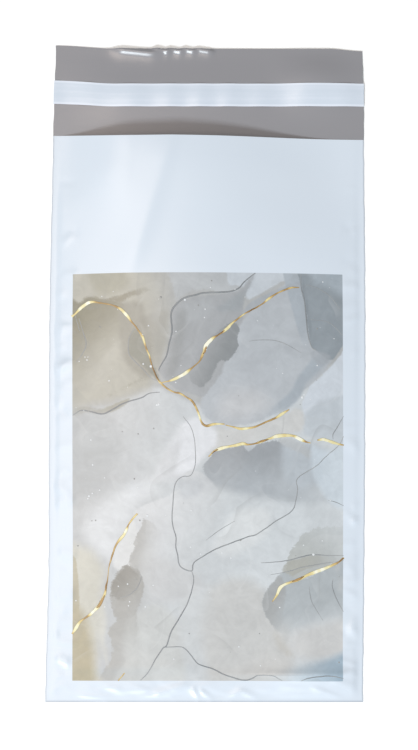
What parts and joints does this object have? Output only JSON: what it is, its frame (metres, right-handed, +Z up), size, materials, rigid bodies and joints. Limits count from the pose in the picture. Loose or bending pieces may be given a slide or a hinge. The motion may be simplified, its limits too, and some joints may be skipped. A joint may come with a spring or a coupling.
{
  "type": "poly mailer bag",
  "caption": "Flat poly mailer bag with side welds, a folded bottom, an open mouth and an adhesive closing flap under its release liner.",
  "frame": {"origin": "middle of the bag's outline, on the outer face of its back panel, which is the surface it lies on", "axes": "+X across the bag, +Y from the bottom fold to the end of the flap, +Z up out of the printed front panel"},
  "size_m": [0.17, 0.353, 0.0096],
  "materials": {
    "film": "white opaque film with a soft gloss, grey on its inner face, with a printed marbled panel on the front",
    "adhesive": "tacky hot-melt adhesive, glossy",
    "liner": "cool white release film with a soft sheen and fine lines along it"
  },
  "bodies": {
    "root": {"mailer_film": "film", "adhesive_strip": "adhesive", "release_liner": "liner"}
  },
  "joints": []
}
